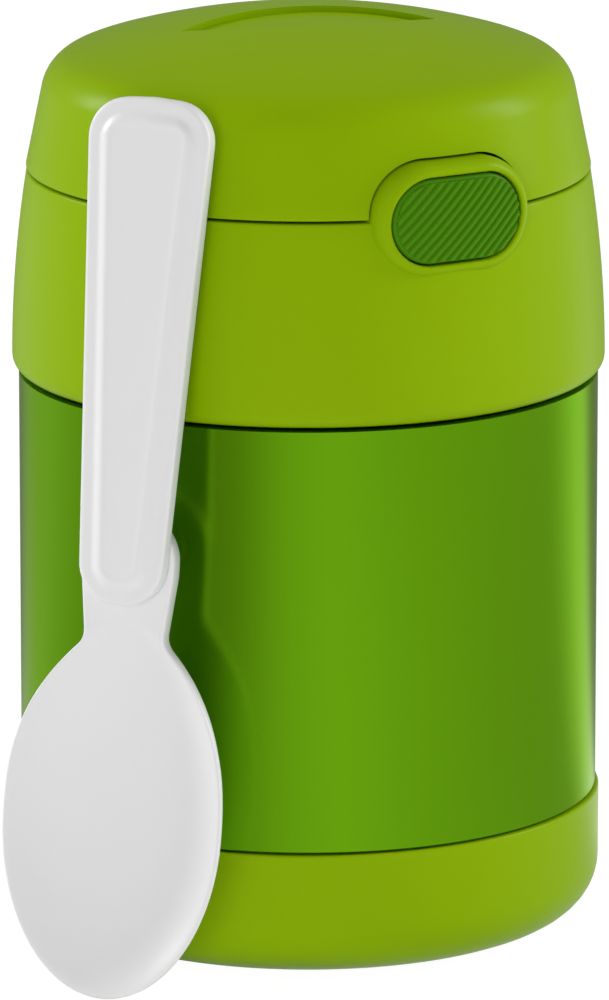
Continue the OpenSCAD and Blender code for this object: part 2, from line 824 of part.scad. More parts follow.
module spoon_bowl() {
    tab_foot = bowl_low + bowl_high;
    color(spoon_white) place_spoon() {
        bowl_shell();
        difference() {
            plate(rounded([
                [-neck_w / 2, tab_foot, 0],
                [neck_w / 2, tab_foot, 0],
                [neck_w / 2, tab_foot + neck_l, neck_fillet_r],
                [tab_r, spoon_pivot_z - neck_l, tab_fillet_r],
                [tab_r, spoon_pivot_z + tab_r, tab_corner_r],
                [-tab_r, spoon_pivot_z + tab_r, tab_corner_r],
                [-tab_r, spoon_pivot_z - neck_l, tab_fillet_r],
                [-neck_w / 2, tab_foot + neck_l, neck_fillet_r]
            ]), 0, tab_t);
            translate([0, 1.5 * tab_t, spoon_pivot_z]) rotate([90, 0, 0])
                cylinder(r = stud_r + running_fit, h = 2 * tab_t);
        }
    }
}

outer_shell();
inner_liner();
radiation_foil();
shell_base();
getter();
evacuation_seal();
base_cup();
collar();
stopper();
stopper_insulation();
compartment_floor();
latch_guide();
hinge_pin();
mouth_seal();
button();
latch_slide();
button_spring();
lid_dome();
lid_liner();
spoon_handle();
spoon_bowl();
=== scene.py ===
import math

import bmesh
import bpy
from mathutils import Matrix, Vector


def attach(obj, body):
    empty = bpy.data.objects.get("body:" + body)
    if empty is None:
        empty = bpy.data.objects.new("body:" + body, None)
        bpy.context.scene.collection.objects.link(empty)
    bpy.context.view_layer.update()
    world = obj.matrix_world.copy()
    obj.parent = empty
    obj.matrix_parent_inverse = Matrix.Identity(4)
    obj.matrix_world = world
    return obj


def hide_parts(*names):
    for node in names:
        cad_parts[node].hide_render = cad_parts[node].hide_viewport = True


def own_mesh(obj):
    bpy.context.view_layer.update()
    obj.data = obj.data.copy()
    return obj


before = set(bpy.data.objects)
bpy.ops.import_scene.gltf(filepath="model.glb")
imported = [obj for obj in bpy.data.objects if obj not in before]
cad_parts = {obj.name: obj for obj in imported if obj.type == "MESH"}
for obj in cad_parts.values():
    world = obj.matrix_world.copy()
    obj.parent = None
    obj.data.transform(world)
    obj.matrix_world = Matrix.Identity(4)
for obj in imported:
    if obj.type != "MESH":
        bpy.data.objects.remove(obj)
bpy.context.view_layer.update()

mm = 0.001
upright = Vector((0, 0, 1))


def roundedPath(corners, steps=6):  # corners are (x, y, radius); the ends stay sharp
    points = []
    for i, (x, y, radius) in enumerate(corners):
        here = Vector((x, y))
        if radius == 0 or i in (0, len(corners) - 1):
            points.append(here)
            continue
        towards = (Vector(corners[i - 1][:2]) - here).normalized()
        onwards = (Vector(corners[i + 1][:2]) - here).normalized()
        half = math.acos(max(-1, min(1, towards.dot(onwards)))) / 2
        centre = here + (towards + onwards).normalized() * radius / math.sin(half)
        first = here + towards * radius / math.tan(half) - centre
        last = here + onwards * radius / math.tan(half) - centre
        sweep = first.angle_signed(last)
        for k in range(steps + 1):
            turned = first.copy()
            turned.rotate(Matrix.Rotation(-sweep * k / steps, 2))
            points.append(centre + turned)
    return points


def lathe(points, steps=192):  # points are (radius, height) of a closed line, in millimetres
    bm = bmesh.new()
    ring = [bm.verts.new((p[0] * mm, 0, p[1] * mm)) for p in points]
    edges = [bm.edges.new(pair) for pair in zip(ring, ring[1:] + ring[:1])]
    bmesh.ops.spin(bm, geom=ring + edges, cent=(0, 0, 0), axis=upright, angle=2 * math.pi,
                   steps=steps, use_merge=True)
    tidy(bm)
    return bm


def tidy(bm, near=0.0002):  # points nearer than this many millimetres become one
    bmesh.ops.remove_doubles(bm, verts=bm.verts, dist=near * mm)
    bmesh.ops.dissolve_degenerate(bm, edges=bm.edges, dist=1e-7)
    bmesh.ops.recalc_face_normals(bm, faces=bm.faces)


def toMesh(bm, name):
    mesh = bpy.data.meshes.new(name)
    bm.to_mesh(mesh)
    bm.free()
    return mesh


def combine(bm, other, operation="DIFFERENCE"):  # exact boolean of two closed meshes
    body = bpy.data.objects.new("body", toMesh(bm, "body"))
    tool = bpy.data.objects.new("tool", toMesh(other, "tool"))
    for o in (body, tool):
        bpy.context.scene.collection.objects.link(o)
    cut = body.modifiers.new("cut", "BOOLEAN")
    cut.operation, cut.object, cut.solver = operation, tool, "EXACT"
    shown = body.evaluated_get(bpy.context.evaluated_depsgraph_get())
    result = bmesh.new()
    result.from_mesh(shown.to_mesh())
    shown.to_mesh_clear()
    for o in (body, tool):
        mesh = o.data
        bpy.data.objects.remove(o)
        bpy.data.meshes.remove(mesh)
    bmesh.ops.remove_doubles(result, verts=result.verts, dist=1e-6)
    return result


def join(bm, *others):
    for other in others:
        mesh = toMesh(other, "part")
        bm.from_mesh(mesh)
        bpy.data.meshes.remove(mesh)
    return bm


def block(low, high):
    bm = bmesh.new()
    size = [(high[i] - low[i]) * mm for i in range(3)]
    centre = [(high[i] + low[i]) / 2 * mm for i in range(3)]
    bmesh.ops.create_cube(bm, size=1)
    bmesh.ops.scale(bm, vec=size, verts=bm.verts)
    bmesh.ops.translate(bm, vec=centre, verts=bm.verts)
    return bm


def soften(bm, width, segments=3, angle=40):  # rounds the edges sharper than the angle
    sharp = math.radians(angle)
    edges = [e for e in bm.edges if len(e.link_faces) == 2 and e.calc_face_angle(0) > sharp]
    bmesh.ops.bevel(bm, geom=edges, offset=width * mm, offset_type="OFFSET", segments=segments,
                    profile=0.5, affect="EDGES", clamp_overlap=True, material=-1)
    return bm


def vertsOf(made):  # the new vertices of an extrusion
    return [g for g in made["geom"] if isinstance(g, bmesh.types.BMVert)]


def pairsOf(loop):  # the ends of the edges of a closed loop of vertices
    return [(loop[i - 1], loop[i]) for i in range(len(loop))]


def startLoop(bm, points):  # a closed loop of vertices through points in millimetres
    before = set(bm.verts)
    bmesh.ops.create_circle(bm, radius=1, segments=len(points))
    loop = [v for v in bm.verts if v not in before]
    for v, point in zip(loop, points):
        v.co = Vector(point) * mm
    return loop


def growLoop(bm, loop, points):  # the next loop, joined to the last one by faces
    edges = [bm.edges.get(pair) for pair in pairsOf(loop)]
    made = set(vertsOf(bmesh.ops.extrude_edge_only(bm, edges=edges)))
    onward = [next(e.other_vert(v) for e in v.link_edges if e.other_vert(v) in made) for v in loop]
    for v, point in zip(onward, points):
        v.co = Vector(point) * mm
    return onward


def loft(rings, capped=True):  # a skin over rings with the same number of points
    bm = bmesh.new()
    loop = first = startLoop(bm, rings[0])
    for points in rings[1:]:
        loop = growLoop(bm, loop, points)
    for end in (first, loop) if capped else ():
        bmesh.ops.contextual_create(bm, geom=end)
    tidy(bm)
    return bm


def obroundRing(bm, width, height, segments=96):  # loop in x and z about the origin
    before = set(bm.verts)
    bmesh.ops.create_circle(bm, radius=height / 2 * mm, segments=segments,
                            matrix=Matrix.Rotation(math.pi / segments, 4, "Z"))
    loop = [v for v in bm.verts if v not in before]
    for v in loop:
        side = 1 if v.co.x > 0 else -1
        v.co = Vector((v.co.x + side * (width - height) / 2 * mm, 0, v.co.y))
    return loop


def obround(width, height, front, back, centreZ, segments=96):  # a slab from y = front to y = back
    bm = bmesh.new()
    loop = obroundRing(bm, width, height, segments)
    made = bmesh.ops.extrude_face_region(bm, geom=[bm.faces.new(loop)])
    bmesh.ops.translate(bm, vec=(0, (back - front) * mm, 0), verts=vertsOf(made))
    bmesh.ops.translate(bm, vec=(0, front * mm, centreZ * mm), verts=bm.verts)
    bmesh.ops.recalc_face_normals(bm, faces=bm.faces)
    return bm


def barrel(radius, low, high, centre, axis="X", segments=48):  # a cylinder along the axis
    bm = bmesh.new()
    turn = Matrix.Rotation(math.pi / 2, 4, "Y" if axis == "X" else "X")
    bmesh.ops.create_cone(bm, cap_ends=True, segments=segments, radius1=radius * mm, radius2=radius * mm,
                          depth=(high - low) * mm, matrix=turn)
    shift = Vector(centre) * mm
    shift["XY".index(axis)] += (low + high) / 2 * mm
    bmesh.ops.translate(bm, vec=shift, verts=bm.verts)
    return bm


def place(bm, name, body, finish, nodes=(), sharp=35):  # the nodes are those it takes the place of
    mesh = toMesh(bm, name)
    mesh.shade_smooth()
    mesh.set_sharp_from_angle(angle=math.radians(sharp))
    mesh.materials.append(finish)
    piece = bpy.data.objects.new(name, mesh)
    bpy.context.scene.collection.objects.link(piece)
    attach(piece, body)
    if nodes:
        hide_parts(*nodes)
    return piece


class Wire:  # a socket that takes part in sums
    def __init__(self, finish, socket):
        self.finish, self.socket = finish, socket

    def maths(self, operation, *values):
        return self.finish.add("ShaderNodeMath", {"operation": operation}, list(values))

    def __add__(self, other):
        return self.maths("ADD", self, other)

    def __radd__(self, other):
        return self.maths("ADD", other, self)

    def __sub__(self, other):
        return self.maths("SUBTRACT", self, other)

    def __rsub__(self, other):
        return self.maths("SUBTRACT", other, self)

    def __mul__(self, other):
        return self.maths("MULTIPLY", self, other)

    def __rmul__(self, other):
        return self.maths("MULTIPLY", other, self)


class Finish:  # a material and the nodes it is made of
    def __init__(self, name, **constants):
        self.material = bpy.data.materials.new(name)
        self.material.use_nodes = True
        self.tree = self.material.node_tree
        self.tree.nodes.clear()
        self.output = self.tree.nodes.new("ShaderNodeOutputMaterial")
        self.shader = self.tree.nodes.new("ShaderNodeBsdfPrincipled")
        self.tree.links.new(self.shader.outputs[0], self.output.inputs[0])
        for socket, value in constants.items():
            self.set(socket.replace("_", " "), value)

    def set(self, socket, value):
        self.feed(self.shader.inputs[socket], value)

    def feed(self, socket, value):
        if isinstance(value, Wire):
            self.tree.links.new(value.socket, socket)
        else:
            socket.default_value = value

    def add(self, kind, settings, values, output=0):
        node = self.tree.nodes.new(kind)
        for key, value in settings.items():
            setattr(node, key, value)
        for key, value in (values.items() if isinstance(values, dict) else enumerate(values)):
            self.feed(node.inputs[key], value)
        return Wire(self, node.outputs[output])

    def place(self, scale=(1, 1, 1)):  # object coordinates, stretched
        where = self.add("ShaderNodeTexCoord", {}, {}, "Object")
        return self.add("ShaderNodeMapping", {}, {"Vector": where, "Scale": scale})

    def noise(self, scale, stretch=(1, 1, 1)):
        values = {"Vector": self.place(stretch), "Scale": scale, "Detail": 2}
        return self.add("ShaderNodeTexNoise", {}, values)

    def blend(self, mask, first, second):  # colours; the Mix node's sockets go by number
        return self.add("ShaderNodeMix", {"data_type": "RGBA"}, {0: mask, 6: first, 7: second}, 2)

    def bump(self, height, depth):  # depth in metres
        values = {"Height": height, "Distance": depth, "Strength": 1.0}
        self.set("Normal", self.add("ShaderNodeBump", {}, values))


def linear(*colour):  # from the 0 to 255 scale
    return tuple(c / 255 / 12.92 if c <= 10 else ((c / 255 + 0.055) / 1.055) ** 2.4 for c in colour) + (1,)


mould = {"cloudScale": 26, "cloudGloss": 0.05, "speckScale": 2600, "speckGloss": 0.10}


def mouldedPlastic(name, colour, shade, roughness, grain=0.000004, **constants):
    m = mould
    finish = Finish(name, **constants)
    cloud = finish.noise(m["cloudScale"])
    speck = finish.noise(m["speckScale"])
    finish.set("Base Color", finish.blend(cloud, colour, shade))
    finish.set("Roughness", roughness + m["speckGloss"] * (speck - 0.5) + m["cloudGloss"] * (cloud - 0.5))
    finish.bump(speck, grain)
    return finish.material


paint = {"roughness": 0.22, "grainScale": 700, "grainStretch": (1, 1, 0.02), "grainGloss": 0.03,
         "grainDepth": 0.0000002, "cloudScale": 14, "cloudGloss": 0.04}


def lacqueredSteel(name, colour, shade):
    p = paint
    finish = Finish(name, Metallic=0.96, Coat_Weight=0.1, Coat_Roughness=0.08, Coat_IOR=1.5,
                    Specular_Tint=(0.75, 0.9, 0.45, 1))
    grain = finish.noise(p["grainScale"], p["grainStretch"])
    cloud = finish.noise(p["cloudScale"])
    finish.set("Base Color", finish.blend(cloud, colour, shade))
    streaks = p["grainGloss"] * (grain - 0.5)
    finish.set("Roughness", p["roughness"] + streaks + p["cloudGloss"] * (cloud - 0.5))
    finish.bump(grain, p["grainDepth"])
    return finish.material


brushed = {"grainScale": 1400, "grainGloss": 0.14, "grainDepth": 0.000002, "darker": 0.86}


def steel(name, colour, roughness, stretch=(1, 1, 0.03)):
    b = brushed
    finish = Finish(name, Metallic=1.0)
    grain = finish.noise(b["grainScale"], stretch)
    shade = tuple(b["darker"] * c for c in colour[:3]) + (1,)
    finish.set("Base Color", finish.blend(grain, colour, shade))
    finish.set("Roughness", roughness + b["grainGloss"] * (grain - 0.5))
    finish.bump(grain, b["grainDepth"])
    return finish.material


lime = mouldedPlastic("limePlastic", linear(144, 181, 0), linear(141, 178, 0), 0.31, grain=0.000002,
                      Specular_IOR_Level=0.06)
ribGreen = mouldedPlastic("ribGreen", linear(80, 142, 12), linear(76, 136, 10), 0.42, grain=0.000002,
                          Specular_IOR_Level=0.08)
lacquer = lacqueredSteel("greenLacquer", linear(106, 168, 0), linear(102, 163, 0))
bareSteel = steel("bareSteel", (0.66, 0.66, 0.67, 1), 0.30)
foilSheet = steel("foilSheet", (0.84, 0.85, 0.86, 1), 0.22, (1, 1, 1))
greyPlastic = mouldedPlastic("greyPlastic", linear(176, 180, 184), linear(168, 172, 177), 0.5)
silicone = mouldedPlastic("silicone", linear(226, 226, 220), linear(216, 216, 210), 0.55)
foam = mouldedPlastic("foam", linear(236, 234, 224), linear(214, 212, 202), 0.9, grain=0.00006)
resin = mouldedPlastic("resin", linear(96, 96, 98), linear(82, 82, 84), 0.5)
spoonWhite = mouldedPlastic("spoonWhite", linear(241, 241, 241), linear(239, 239, 239), 0.38,
                            grain=0.000001)
print("materials made")

cadFinishes = {
    "radiation_foil": foilSheet, "shell_base": bareSteel, "getter": bareSteel, "evacuation_seal": resin,
    "stopper_insulation": foam, "latch_guide": greyPlastic, "hinge_pin": bareSteel,
    "latch_slide": greyPlastic,
}
for node, finish in cadFinishes.items():
    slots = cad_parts[node].data.materials
    slots.clear()
    slots.append(finish)


# the jar and the spoon are in millimetres and degrees, the studio is in metres
vessel = {
    "shellRadius": 43.5, "footRadius": 41.8, "stepHeight": 19.7, "weldHeight": 9.3, "shoulderHeight": 83.5,
    "shoulderRise": 1.3, "neckRadius": 37.2, "neckTop": 96.5, "mouthRadius": 34.0, "foodRadius": 37.0,
    "floorHeight": 14.3, "floorCorner": 8, "sheet": 0.6, "paintEdge": 38.6, "paint": 0.02, "neckLap": 0.7,
    "taperStart": 3, "taper": 4, "taperShare": 0.3, "taperCorner": 3, "mouthCorner": 0.8,
}
thread = {
    "starts": 3, "lead": 18.72, "low": 87.2, "height": 0.8, "half": 0.85, "crestHalf": 0.4, "lug": 0.75,
    "root": 0.2, "steps": 36, "runOut": 6, "leastSwell": 0.04, "ridgeEnd": 0.97, "lugStart": 0.5,
    "lugEnd": 0.95,
}
baseCup = {
    "radius": 44, "height": 19.5, "wall": 1.9, "floor": 2.4, "corner": 8.5, "innerCorner": 6.5, "edge": 0.4,
    "innerEdge": 0.3,
}


def threadRidges(radius, height, low, first, last):  # a share of each start, from first to last
    t = thread
    ridges = bmesh.new()
    turn = 2 * math.pi / t["starts"]
    steps = t["steps"]
    for start in range(t["starts"]):
        rings = []
        for k in range(steps + 1):
            share = first + (last - first) * k / steps
            angle = turn * (start + share)
            z = low + t["lead"] * share / t["starts"]
            swell = min(1, t["runOut"] * k / steps, t["runOut"] * (steps - k) / steps)  # both ends run out
            swell = t["leastSwell"] + (1 - t["leastSwell"]) * math.sin(math.pi / 2 * swell)
            crest = radius + height * swell
            root = radius - t["root"] * math.copysign(1, height)
            section = [(root, -t["half"]), (radius, -t["half"]), (crest, -t["crestHalf"]),
                       (crest, t["crestHalf"]), (radius, t["half"]), (root, t["half"])]
            rings.append([(r * math.cos(angle), r * math.sin(angle), z + rise) for r, rise in section])
        join(ridges, loft(rings))
    return ridges


def shellPiece():
    v = vessel
    shoulderEnd = v["shoulderHeight"] + v["shoulderRise"]
    slope = v["shoulderRise"] / (v["shellRadius"] - v["neckRadius"])
    paintHeight = shoulderEnd - slope * (v["paintEdge"] - v["neckRadius"])
    outer = roundedPath([
        (v["footRadius"], v["weldHeight"], 0), (v["footRadius"], v["stepHeight"], 0.4),
        (v["shellRadius"], v["stepHeight"], 0.4), (v["shellRadius"], v["shoulderHeight"], 0),
        (v["paintEdge"], paintHeight, 0)])
    inner = roundedPath([
        (v["footRadius"] - v["sheet"], v["weldHeight"], 0),
        (v["footRadius"] - v["sheet"], v["stepHeight"] + v["sheet"], 1),
        (v["shellRadius"] - v["sheet"], v["stepHeight"] + v["sheet"], 0.4),
        (v["shellRadius"] - v["sheet"], v["shoulderHeight"] - 0.5, 0.4),
        (v["paintEdge"], paintHeight - v["sheet"], 0)])
    place(lathe(outer + inner[::-1]), "shell", "vessel", lacquer, ["outer_shell"])
    neckEnd = v["neckTop"] - v["neckLap"]
    neckOut = roundedPath([
        (v["paintEdge"], paintHeight - v["paint"], 0), (v["neckRadius"], shoulderEnd - v["paint"], 0.8),
        (v["neckRadius"], neckEnd, 0)])
    neckIn = roundedPath([
        (v["paintEdge"], paintHeight - v["sheet"], 0),
        (v["neckRadius"] - v["sheet"], shoulderEnd - v["sheet"], 1.4),
        (v["neckRadius"] - v["sheet"], neckEnd, 0)])
    neck = lathe(neckOut + neckIn[::-1])
    join(neck, threadRidges(v["neckRadius"], thread["height"], thread["low"], 0, thread["ridgeEnd"]))
    place(neck, "neck", "vessel", bareSteel, ["outer_shell"])


def linerPiece():
    v = vessel
    taperFoot = v["shoulderHeight"] - v["taperStart"]

    def path(out):  # the sheet's inner face, moved out
        low, high = v["floorHeight"] - out, v["neckTop"] - out
        foot = taperFoot + v["taperShare"] * out
        return roundedPath([
            (0, low, 0), (v["foodRadius"] + out, low, v["floorCorner"] + out),
            (v["foodRadius"] + out, foot, v["taperCorner"]),
            (v["mouthRadius"] + out, foot + v["taper"], v["taperCorner"]),
            (v["mouthRadius"] + out, high, v["mouthCorner"] - out), (v["neckRadius"], high, 0)])

    bm = lathe(path(0) + path(v["sheet"])[::-1])
    return place(bm, "innerLiner", "vessel", bareSteel, ["inner_liner"])


def baseCupPiece():
    c = baseCup
    inner = c["radius"] - c["wall"]
    cup = roundedPath([
        (0, 0, 0), (c["radius"], 0, c["corner"]), (c["radius"], c["height"], c["edge"]),
        (inner, c["height"], c["innerEdge"]), (inner, c["floor"], c["innerCorner"]),
        (0, c["floor"], 0)], 10)
    return place(lathe(cup), "baseCup", "vessel", lime, ["base_cup"])


shellPiece()
linerPiece()
baseCupPiece()
print("vessel made")


lidBase = {
    "bottom": 84.0, "top": 114.2, "radius": 44.5, "bulge": 186, "bulgeHeight": 84.8, "innerRadius": 41.9,
    "rimRadius": 39.96, "lipRadius": 37.56, "lipHeight": 104.1, "lipThickness": 2.2,
    "bottomEdge": 2.2, "topEdge": 0.45, "sideStep": 3, "ribs": 12, "ribInner": 40.5, "ribOuter": 42.4,
    "ribHalf": 0.6, "ribBottom": 86.5, "ribTop": 102.2, "buttonWidth": 21.7, "buttonHeight": 12.7,
    "buttonZ": 114.05, "gap": 0.2, "rim": 2.0, "bezelRadius": 44.3, "crownRadius": 60, "towerFront": -47,
    "towerBack": -35.2, "boreBack": -33, "boreRoom": 0.3, "turnSteps": 240, "rimSteps": 128,
}
hinge = {
    "y": 40.6, "z": 114.55, "knuckle": 2.4, "pin": 0.92, "half": 5.6, "earStart": 6.0, "earEnd": 11.0,
    "room": 0.4, "sideRoom": 0.3, "earBottom": 108, "earTop": 120, "pinRoom": 0.03, "pinHalf": 20,
    "pinSteps": 32,
}


def bulgeSide(z):
    b = lidBase
    return b["radius"] - b["bulge"] + math.sqrt(b["bulge"] ** 2 - (z - b["bulgeHeight"]) ** 2)


def crownedFace(radius, x, z):  # y of a face that is round about the axis and crowned in height
    b = lidBase
    rise = z - b["buttonZ"]
    local = radius - b["crownRadius"] + math.sqrt(b["crownRadius"] ** 2 - rise ** 2)
    return -math.sqrt(local ** 2 - x ** 2)


def knuckle(low, high, radius=hinge["knuckle"], segments=48):
    return barrel(radius, low, high, (0, hinge["y"], hinge["z"]), "X", segments)


def collarPiece():
    b = lidBase
    heights = [b["bottom"] + b["sideStep"] * k for k in range(1, 10)]
    side = [(bulgeSide(z), z, 0) for z in heights]
    ring = roundedPath([
        (b["innerRadius"], 90, 0), (b["innerRadius"], b["bottom"], 0.5),
        (bulgeSide(b["bottom"]), b["bottom"], b["bottomEdge"]), *side,
        (bulgeSide(b["top"]), b["top"], b["topEdge"]), (b["rimRadius"], b["top"], 0.4),
        (b["rimRadius"], b["lipHeight"] + b["lipThickness"], 0),
        (b["lipRadius"], b["lipHeight"] + b["lipThickness"], 0), (b["lipRadius"], b["lipHeight"], 0),
        (b["innerRadius"], b["lipHeight"], 0)])
    bm = lathe(ring, b["turnSteps"])
    h = hinge
    ears = join(knuckle(-h["earEnd"], -h["earStart"]), knuckle(h["earStart"], h["earEnd"]))
    low, high, crest = h["earBottom"], h["earTop"], h["y"] + h["knuckle"]
    ears = combine(ears, lathe([(0, low), (crest, low), (crest, high), (0, high)]), "INTERSECT")
    bm = combine(bm, ears, "UNION")
    reach = h["half"] + h["sideRoom"]
    bm = combine(bm, knuckle(-reach, reach, h["knuckle"] + h["room"]))
    width, height = b["buttonWidth"] + 2 * b["gap"], b["buttonHeight"] + 2 * b["gap"]
    bore = 2 * b["boreRoom"]
    bm = combine(bm, obround(width + bore, height + bore, b["towerFront"], b["boreBack"], b["buttonZ"]))
    for k in range(b["ribs"]):  # grip the stopper's skirt
        corner = (b["ribInner"], -b["ribHalf"], b["ribBottom"])
        rib = block(corner, (b["ribOuter"], b["ribHalf"], b["ribTop"]))
        turn = Matrix.Rotation(2 * math.pi * k / b["ribs"], 3, "Z")
        bmesh.ops.rotate(rib, cent=(0, 0, 0), matrix=turn, verts=rib.verts)
        join(bm, rib)
    return place(bm, "lidCollar", "lid_base", lime, ["collar"])


# the bezel's rim from inside to outside: distance from the bore, depth behind the face, None at the back
bezelRim = [
    (0, None), (0, 1.4), (0, 0.62), (0.03, 0.4), (0.1, 0.22), (0.22, 0.09), (0.38, 0.02), (0.56, 0),
    (0.78, 0.03), (1.02, 0.13), (1.26, 0.3), (1.48, 0.54), (1.66, 0.83), (1.8, 1.16), (1.9, 1.5),
    (1.96, 1.85), (2.0, 2.3), (2.0, None)]


def bezelPiece():
    b = lidBase
    width, height = b["buttonWidth"] + 2 * b["gap"], b["buttonHeight"] + 2 * b["gap"]
    bm = bmesh.new()
    loops = []
    for offset, depth in bezelRim:
        loop = obroundRing(bm, width + 2 * offset, height + 2 * offset, b["rimSteps"])
        for v in loop:
            x, z = v.co.x / mm, v.co.z / mm + b["buttonZ"]
            y = b["towerBack"] if depth is None else crownedFace(b["bezelRadius"], x, z) + depth
            v.co = Vector((x, y, z)) * mm
        loops.append([bm.edges.get(pair) for pair in pairsOf(loop)])
    for one, two in zip(loops, loops[1:] + loops[:1]):
        bmesh.ops.bridge_loops(bm, edges=one + two)
    tidy(bm)
    return place(bm, "bezel", "lid_base", lime, ["collar"], 50)


stopper = {
    "plugRadius": 32.4, "plugBottom": 87.2, "plugWall": 2, "plugCorner": 2, "sealSeat": 98.9,
    "skirtInner": 38.3, "skirtOuter": 40.3, "skirtBottom": 85.8, "flangeRadius": 41.8,
    "flangeBottom": 102.5, "flangeTop": 104,
}


def stopperPiece():
    s = stopper
    hollow = s["plugRadius"] - s["plugWall"]
    plugFloor = s["plugBottom"] + s["plugWall"]
    bm = lathe(roundedPath([
        (0, s["plugBottom"], 0), (s["plugRadius"], s["plugBottom"], s["plugCorner"]),
        (s["plugRadius"], s["sealSeat"], 0), (s["skirtInner"], s["sealSeat"], 0),
        (s["skirtInner"], s["skirtBottom"], 0.4), (s["skirtOuter"], s["skirtBottom"], 0.4),
        (s["skirtOuter"], s["flangeBottom"], 0), (s["flangeRadius"], s["flangeBottom"], 0),
        (s["flangeRadius"], s["flangeTop"], 0), (hollow, s["flangeTop"], 0), (hollow, plugFloor, 1),
        (0, plugFloor, 0)]))
    halfWay = thread["low"] - thread["lead"] / thread["starts"] / 2
    join(bm, threadRidges(s["skirtInner"], -thread["lug"], halfWay, thread["lugStart"], thread["lugEnd"]))
    return place(bm, "threadedStopper", "lid_base", greyPlastic, ["stopper"])


tray = {"radius": 39.76, "bottom": 106.4, "top": 108, "edge": 0.4, "notchHalf": 14.1, "notchBack": -34.9}


def trayPiece():
    t = tray
    bm = lathe(roundedPath([
        (0, t["bottom"], 0), (t["radius"], t["bottom"], 0), (t["radius"], t["top"], t["edge"]),
        (0, t["top"], 0)]))
    # the notch that leaves room for the button's tower
    bm = combine(bm, block((-t["notchHalf"], -45, 100), (t["notchHalf"], t["notchBack"], 120)))
    return place(bm, "tray", "lid_base", greyPlastic, ["compartment_floor"])


mouthSeal = {"inner": 33.2, "outer": 37.2, "bottom": 96.8, "top": 98.6, "edge": 0.5, "middle": 35}


def sealPiece():
    s = mouthSeal
    inner, outer, low, high = s["inner"], s["outer"], s["bottom"], s["top"]
    corners = [(outer, low), (outer, high), (inner, high), (inner, low)]
    start = (s["middle"], low, 0)
    bm = lathe(roundedPath([start, *((r, z, s["edge"]) for r, z in corners), start]))
    return place(bm, "mouthSeal", "mouth_seal", silicone, ["mouth_seal"])


collarPiece()
bezelPiece()
stopperPiece()
trayPiece()
sealPiece()
print("lid base made")


button = {
    "proud": 0.2, "ribPitch": 1.15, "ribAngle": 45, "ribHeight": 0.45, "ribRows": 27, "ribLength": 30,
    "ribHalf": 0.36, "ribFullness": 4, "margin": 0.5, "skirt": 1.6, "back": -39.8, "floor": -41.3,
}


def buttonPiece():
    b = lidBase
    faceRadius = b["bezelRadius"] + button["proud"]
    # distance from the outline and depth behind the face, or None at the back
    section = [(-button["skirt"], None), (0, None), (0, 1.3), (-0.03, 1.06), (-0.11, 0.84), (-0.25, 0.67),
               (-0.43, 0.56), (-0.62, 0.5)]
    bm = bmesh.new()
    loops = []
    for offset, depth in section:
        width, height = b["buttonWidth"] + 2 * offset, b["buttonHeight"] + 2 * offset
        loop = obroundRing(bm, width, height, b["rimSteps"])
        for v in loop:
            x, z = v.co.x / mm, v.co.z / mm + b["buttonZ"]
            y = button["back"] if depth is None else crownedFace(faceRadius, x, z) + depth
            v.co = Vector((x, y, z)) * mm
        loops.append([bm.edges.get(pair) for pair in pairsOf(loop)])
    for one, two in zip(loops, loops[1:]):
        bmesh.ops.bridge_loops(bm, edges=one + two)
    bmesh.ops.contextual_create(bm, geom=loops[-1])
    tidy(bm)
    # underside of the cap
    skirts = 2 * button["skirt"]
    cap = obroundRing(bm, b["buttonWidth"] - skirts, b["buttonHeight"] - skirts, b["rimSteps"])
    for v in cap:
        v.co += Vector((0, button["floor"] * mm, b["buttonZ"] * mm))
    capEdges = [bm.edges.get(pair) for pair in pairsOf(cap)]
    rear = [e for e in bm.edges if e.is_boundary and e not in capEdges]
    bmesh.ops.bridge_loops(bm, edges=rear + capEdges)
    bmesh.ops.contextual_create(bm, geom=capEdges)
    tidy(bm)
    plate = ribbedPlate(faceRadius)
    return place(join(bm, plate), "ribbedButton", "push_button", ribGreen, ["button"], 50)


def ribbedPlate(faceRadius):  # a slab whose front is ridged, cut to the button's outline
    b = lidBase
    rows = button["ribRows"]
    bm = bmesh.new()
    bmesh.ops.create_grid(bm, x_segments=60, y_segments=rows * 10, size=0.5)
    bmesh.ops.scale(bm, vec=(button["ribLength"] * mm, rows * button["ribPitch"] * mm, 1), verts=bm.verts)
    turn = Matrix.Rotation(math.radians(button["ribAngle"]), 2)
    for v in bm.verts:
        along, across = v.co.x / mm, v.co.y / mm
        phase = (across / button["ribPitch"]) % 1
        crest = max(0.0, 1 - (abs(phase - 0.5) / button["ribHalf"]) ** button["ribFullness"])
        v.co.xy = turn @ Vector((along, across))
        x, z = v.co.x, v.co.y
        v.co = Vector((x, crest * button["ribHeight"], z))
    wide, high = b["buttonWidth"] / 2 + 1, b["buttonHeight"] / 2 + 1
    outside = [v for v in bm.verts if abs(v.co.x) > wide or abs(v.co.z) > high]
    bmesh.ops.delete(bm, geom=outside, context="VERTS")
    for v in bm.verts:
        x, z = v.co.x, v.co.z + b["buttonZ"]
        depth = button["ribHeight"] - v.co.y
        v.co = Vector((x, crownedFace(faceRadius, x, z) + depth, z)) * mm
    edge = [e for e in bm.edges if e.is_boundary]
    for v in vertsOf(bmesh.ops.extrude_edge_only(bm, edges=edge)):
        v.co.y = (button["floor"] - 0.3) * mm
    bmesh.ops.holes_fill(bm, edges=[e for e in bm.edges if e.is_boundary])
    bmesh.ops.recalc_face_normals(bm, faces=bm.faces)
    margins = 2 * button["margin"]
    trim = obround(b["buttonWidth"] - margins, b["buttonHeight"] - margins, -46, button["floor"] - 0.5,
                   b["buttonZ"], b["rimSteps"])
    return combine(bm, trim, "INTERSECT")


spring = {
    "turns": 3, "radius": 1.9, "wire": 0.22, "front": -40.98, "back": -37.12, "height": 116.55,
    "travel": 2.0, "turnSteps": 24,
}


